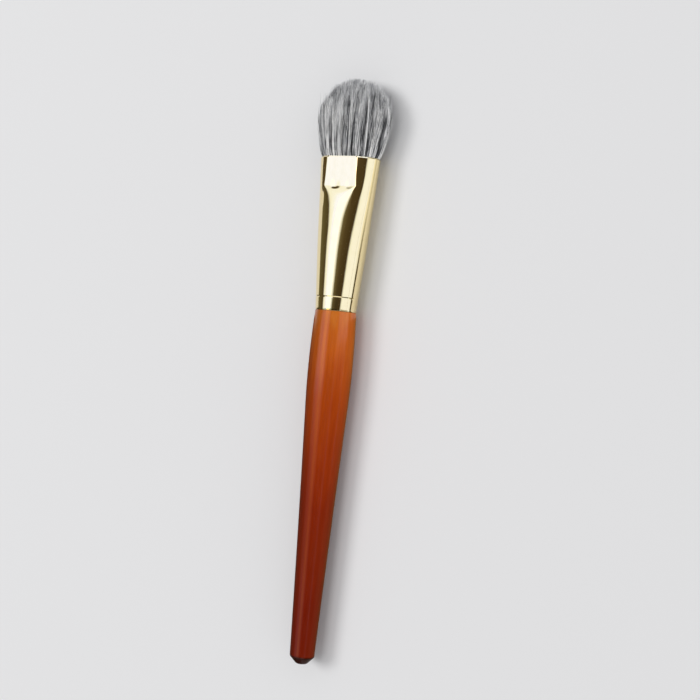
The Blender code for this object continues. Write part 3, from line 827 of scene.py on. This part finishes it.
def build_slice(finish):
    """The slice of resin that the strands stand in, clear of the shell's bore."""
    angles = ferrule_angles()
    around, inset = len(angles), FERRULE_WALL + FIT
    high = RIM - SLICE_DEPTH + STRANDS_SUNK
    low = RIM - SLICE_DEPTH - SLICE_THICKNESS
    rings = [placed(height, *ferrule_ring(height, inset, inset, angles)) for height in (low, high)]
    points = np.vstack([*rings, placed(low, 0.0, 0.0), placed(high, 0.0, 0.0)])
    faces = ring_faces(2, around, False)
    bottom, top = 2 * around, 2 * around + 1
    for i in range(around):
        j = (i + 1) % around
        faces.append([i, j, bottom])
        faces.append([around + j, around + i, top])
    disc = mesh_piece("hair_slice", points, faces, finish, "resin", "hair_tuft")
    for row in (0, 1):
        keep_sharp(disc.data, around, row)
    return disc


def strand_shades(owner, chance):
    """A shade for each strand: grey or black, and darker or paler with its clump."""
    count = len(owner)
    black = chance.random(count) < BLACK_SHARE
    kind = chance.random(count)
    clump = np.where(kind < DARK_CLUMPS + MIDDLE_CLUMPS, 0.0, PALE_CLUMP_SHADE)
    clump = np.where(kind < DARK_CLUMPS, DARK_CLUMP_SHADE, clump)
    clump += chance.normal(0.0, CLUMP_SHADE_SPREAD, count)
    own = np.where(black, BLACK_SHADE, GREY_SHADE) + chance.normal(0.0, SHADE_SPREAD, count)
    return own + clump[owner]


def build_hair(finish):
    chance = np.random.default_rng(HAIR_SEED)
    feet, course, rise, owner = hair_courses(chance)
    add_strays(feet, course, rise, chance)
    count, rings = rise.shape
    shade = strand_shades(owner, chance)
    thinning = np.interp(np.linspace(0.0, 1.0, rings), *STRAND_THINNING)
    radius = STRAND_WIDTH / 2 * thinning[None, :, None]
    sides = np.arange(STRAND_SIDES) * math.tau / STRAND_SIDES
    angle = chance.uniform(0.0, math.tau, count)[:, None, None] + sides
    side = course[:, :, :1] + radius * np.cos(angle)
    up = course[:, :, 1:] + radius * np.sin(angle)
    points = placed((RIM + rise)[:, :, None], side, up)
    roots = np.broadcast_to(feet[:, None, :], (count, rings, 2))
    origin = np.concatenate([roots, rise[:, :, None]], axis=2)
    per = rings * STRAND_SIDES
    quads = np.array(ring_faces(rings, STRAND_SIDES, False))
    ends = np.array([[0, 1, 2], [per - 1, per - 2, per - 3]])
    pieces = []
    for number, chosen in enumerate(np.array_split(chance.permutation(count), HAIR_PIECES)):
        starts = (np.arange(len(chosen)) * per)[:, None, None]
        faces = (quads + starts).reshape(-1, 4).tolist() + (ends + starts).reshape(-1, 3).tolist()
        own = points[chosen].reshape(-1, 3)
        piece = mesh_piece(f"hair_{number + 1}", own, faces, finish, "hair", "hair_tuft")
        mesh = piece.data
        values = np.repeat(shade[chosen], per).astype(np.float32)
        mesh.attributes.new("shade", "FLOAT", "POINT").data.foreach_set("value", values)
        values = np.repeat(origin[chosen].reshape(-1, 3), STRAND_SIDES, axis=0).astype(np.float32)
        mesh.attributes.new("origin", "FLOAT_VECTOR", "POINT").data.foreach_set("vector", values.ravel())
        cells = np.concatenate(strand_cells(len(chosen))).astype(np.float32)
        mesh.uv_layers.new(name="OFBake").data.foreach_set("uv", cells.ravel())
        pieces.append(piece)
    return pieces


# Studio


def camera_axes():
    """The directions to the picture's right, to its top and towards the camera."""
    towards = Vector((0.0, -math.sin(VIEW_TURN), math.cos(VIEW_TURN)))
    right = Vector((0.0, -math.cos(VIEW_TURN), -math.sin(VIEW_TURN)))
    along = Vector((1.0, 0.0, 0.0))
    turned_right = right * math.cos(VIEW_ROLL) + along * math.sin(VIEW_ROLL)
    turned_up = along * math.cos(VIEW_ROLL) - right * math.sin(VIEW_ROLL)
    return turned_right, turned_up, towards


def add_camera():
    right, up, towards = camera_axes()
    distance = LENS / SENSOR * PICTURE / PIXELS_PER_METRE
    foot = Vector((BUTT_X + FERRULE_FOOT, 0.0, AXIS_Z))
    off_right = (FOOT_PIXEL[0] - PICTURE / 2) / PIXELS_PER_METRE
    off_up = (PICTURE / 2 - FOOT_PIXEL[1]) / PIXELS_PER_METRE
    aim = foot - right * off_right - up * off_up
    data = bpy.data.cameras.new("camera")
    data.lens, data.sensor_width = LENS, SENSOR
    data.clip_start, data.clip_end = CLIP_START, CLIP_END
    camera = bpy.data.objects.new("camera", data)
    bpy.context.scene.collection.objects.link(camera)
    turn = Matrix((right, up, towards)).transposed().to_4x4()
    camera.matrix_world = Matrix.Translation(aim + towards * distance) @ turn
    bpy.context.scene.camera = camera


def soft_light(name, direction, size, share):
    """A square softbox that gives a level surface a share of white."""
    towards = Vector(direction).normalized()
    data = bpy.data.lights.new(name, "AREA")
    data.shape = "SQUARE"
    data.size = size
    data.energy = share * math.pi**2 * LAMP_DISTANCE**2 / towards.z
    lamp = bpy.data.objects.new(name, data)
    bpy.context.scene.collection.objects.link(lamp)
    lamp.location = towards * LAMP_DISTANCE
    lamp.rotation_euler = towards.to_track_quat("Z", "Y").to_euler()
    lamp.visible_glossy = False
    lamp.visible_camera = False
    return lamp


def light_only(lamp, things):
    """Lets a lamp light only these things."""
    receivers = bpy.data.collections.new(lamp.name + "_receivers")
    for thing in things:
        receivers.objects.link(thing)
    lamp.light_linking.receiver_collection = receivers


def staged(name, points, faces, finish):
    mesh = bpy.data.meshes.new(name)
    mesh.from_pydata(points, [], faces)
    mesh.materials.append(finish)
    thing = bpy.data.objects.new(name, mesh)
    bpy.context.scene.collection.objects.link(thing)
    return thing


def only_in_reflections(thing):
    thing.visible_camera = False
    thing.visible_diffuse = False
    thing.visible_transmission = False
    thing.visible_shadow = False
    thing.visible_volume_scatter = False


def emission(name):
    """A material that only shines, and the node that makes it shine."""
    n = Nodes(name)
    n.tree.nodes.remove(n.shader)
    shine = n.add("ShaderNodeEmission")
    out = n.tree.nodes["Material Output"]
    n.tree.links.new(shine.outputs[0], out.inputs["Surface"])
    n.material.cycles.emission_sampling = "NONE"
    return n, shine


def dome_colour(n):
    """What shines on the dome: bands round the brush, and other glows off its butt and its hair."""
    axes = n.add("ShaderNodeSeparateXYZ", {0: n.place()})
    x, y, z = (axes.outputs[key] for key in "XYZ")
    across = n.maths("SQRT", n.maths("ADD", n.maths("MULTIPLY", y, y), n.maths("MULTIPLY", z, z)))
    latitude = n.maths("ARCTAN2", x, across)
    turn = n.maths("SUBTRACT", n.maths("ARCTAN2", n.maths("MULTIPLY", y, -1.0), z), VIEW_TURN)
    turn = n.maths("WRAP", turn, math.pi, -math.pi)

    def between(angle, low, high, *values):
        return n.ranged(angle, math.radians(low), math.radians(high), *values)

    band_stops = [((degrees + 180) / 360, colour) for degrees, colour in BANDS]
    bands = n.ramp(between(turn, -180, 180), band_stops)
    fading_stops = [(1 - degrees / FADING_FROM, colour) for degrees, colour in FADING]
    fading = n.ramp(between(latitude, FADING_FROM, 0), fading_stops)
    on_left = n.maths("MULTIPLY", between(turn, *LEFT_FROM), between(turn, *LEFT_TO, 1.0, 0.0))
    bands = n.blend(on_left, bands, n.blend(1.0, bands, fading, "MULTIPLY"))
    off_butt = n.blend(between(latitude, *BUTT_END_AT), BUTT_GLOW, BUTT_END)
    off_hair = n.blend(between(latitude, *HAIR_END_AT), DARK, HAIR_END_GLOW)
    colour = n.blend(between(latitude, *BUTT_GLOW_AT, 1.0, 0.0), bands, off_butt)
    return n.blend(between(latitude, *HAIR_GLOW_AT), colour, off_hair)


def add_reflections():
    """A dome that only reflections see: softboxes with dark room between them."""
    n, shine = emission("studio_dome")
    n.tree.links.new(dome_colour(n), shine.inputs["Color"])
    lift = np.linspace(0.0, math.pi / 2, DOME_ROWS + 1)[:, None]
    way = np.linspace(0.0, math.tau, DOME_AROUND, endpoint=False)[None, :]
    axes = np.broadcast_arrays(np.cos(lift) * np.cos(way), np.cos(lift) * np.sin(way), np.sin(lift))
    points = np.stack(axes, axis=-1).reshape(-1, 3) * DOME_RADIUS - (0.0, 0.0, DOME_DROP)
    faces = ring_faces(DOME_ROWS + 1, DOME_AROUND, False)
    only_in_reflections(staged("studio_dome", points.tolist(), faces, n.material))


def add_floor_card(name, ends, edges, near_colour, far_colour, mouth_colour):
    """A strip that lies along the brush and that only reflections see.

    Its colour runs from its near to its far edge, and gives way to another beside the ferrule's mouth.
    """
    start, end = ends
    near, far = edges
    n, shine = emission(name)
    axes = n.add("ShaderNodeSeparateXYZ", {0: n.place()})
    across = n.blend(n.ranged(axes.outputs["Y"], near, far), near_colour, far_colour)
    at_mouth = n.ranged(axes.outputs["X"], MOUTH_FROM, MOUTH_TO)
    n.tree.links.new(n.blend(at_mouth, across, mouth_colour), shine.inputs["Color"])
    corners = ((start, near), (end, near), (end, far), (start, far))
    points = [(*corner, CARD_LIFT) for corner in corners]
    only_in_reflections(staged(name, points, [(0, 1, 2, 3)], n.material))


def add_side_card(name, ends, across, heights, butt_colour, mouth_colour):
    """An upright strip beside the brush that only reflections see."""
    start, end = ends
    bottom, top = heights
    n, shine = emission(name)
    axes = n.add("ShaderNodeSeparateXYZ", {0: n.place()})
    towards_mouth = n.ranged(axes.outputs["X"], end - SIDE_CARD_FADE, end)
    n.tree.links.new(n.blend(towards_mouth, butt_colour, mouth_colour), shine.inputs["Color"])
    points = [(start, across, bottom), (end, across, bottom), (end, across, top), (start, across, top)]
    only_in_reflections(staged(name, points, [(0, 1, 2, 3)], n.material))


def add_floor():
    """A matt floor that passes into the pale background far from the brush, where lamps grow weak."""
    n = Nodes("floor")
    n.set(Base_Color=(*FLOOR_COLOUR, 1.0), Roughness=0.9, Specular_IOR_Level=0.0)
    away = n.add("ShaderNodeVectorMath", {0: n.place()}, operation="LENGTH").outputs["Value"]
    backdrop = n.add("ShaderNodeEmission", {"Color": (*BACKGROUND, 1.0)})
    n.material.cycles.emission_sampling = "NONE"
    far = n.ranged(away, SWEEP_FROM, SWEEP_TO, kind="SMOOTHSTEP")
    sweep = n.add("ShaderNodeMixShader", {0: far, 1: n.shader.outputs[0], 2: backdrop.outputs[0]})
    n.tree.links.new(sweep.outputs[0], n.tree.nodes["Material Output"].inputs["Surface"])
    low, high = -FLOOR_REACH, FLOOR_REACH
    points = [(low, low, 0.0), (high, low, 0.0), (high, high, 0.0), (low, high, 0.0)]
    return staged("floor", points, [(0, 1, 2, 3)], n.material)


def set_world():
    """Pale to the camera, in reflections and through clear things, and elsewhere a soft fill."""
    world = bpy.data.worlds.new("studio")
    bpy.context.scene.world = world
    world.use_nodes = True
    tree = world.node_tree
    fill = tree.nodes["Background"]
    fill.inputs["Color"].default_value = (*FILL, 1.0)
    seen = tree.nodes.new("ShaderNodeBackground")
    seen.inputs["Color"].default_value = (*BACKGROUND, 1.0)
    side = tree.nodes.new("ShaderNodeSeparateXYZ")
    tree.links.new(tree.nodes.new("ShaderNodeTexCoord").outputs["Generated"], side.inputs[0])
    lean = tree.nodes.new("ShaderNodeMapRange")
    tree.links.new(side.outputs["Y"], lean.inputs["Value"])
    ranges = {"From Min": -1.0, "From Max": 1.0, "To Min": 1.0 + FILL_LEAN, "To Max": 1.0 - FILL_LEAN}
    for key, number in ranges.items():
        lean.inputs[key].default_value = number
    tree.links.new(lean.outputs["Result"], fill.inputs["Strength"])
    path = tree.nodes.new("ShaderNodeLightPath")
    looking = path.outputs["Is Camera Ray"]
    for other in ("Is Glossy Ray", "Is Transmission Ray"):
        either = tree.nodes.new("ShaderNodeMath")
        either.operation = "MAXIMUM"
        tree.links.new(looking, either.inputs[0])
        tree.links.new(path.outputs[other], either.inputs[1])
        looking = either.outputs[0]
    both = tree.nodes.new("ShaderNodeMixShader")
    for socket, output in enumerate((looking, fill.outputs[0], seen.outputs[0])):
        tree.links.new(output, both.inputs[socket])
    tree.links.new(both.outputs[0], tree.nodes["World Output"].inputs["Surface"])


def dress_solid(node, finish):
    """Gives a solid that shows as it is its material."""
    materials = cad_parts[node].data.materials
    materials.clear()
    materials.append(finish)


def main():
    hair = build_hair(hair_material())
    resin = resin_material()
    brush = [build_handle(wood_material()), build_ferrule(gold_material()), build_slice(resin), *hair]
    dress_solid("hair_root_plug", resin)
    dress_solid("root_binding", thread_material())
    dress_solid("tenon_glue", glue_material())
    add_camera()
    floor = add_floor()
    add_reflections()
    for card in FLOOR_CARDS:
        add_floor_card(*card)
    for card in SIDE_CARDS:
        add_side_card(*card)
    lit = {"floor": [floor], "brush": brush, "hair": hair}
    for name, direction, size, share, things in LAMPS:
        light_only(soft_light(name, direction, size, share), lit[things])
    set_world()
    bpy.context.scene.view_settings.view_transform = "Standard"


main()
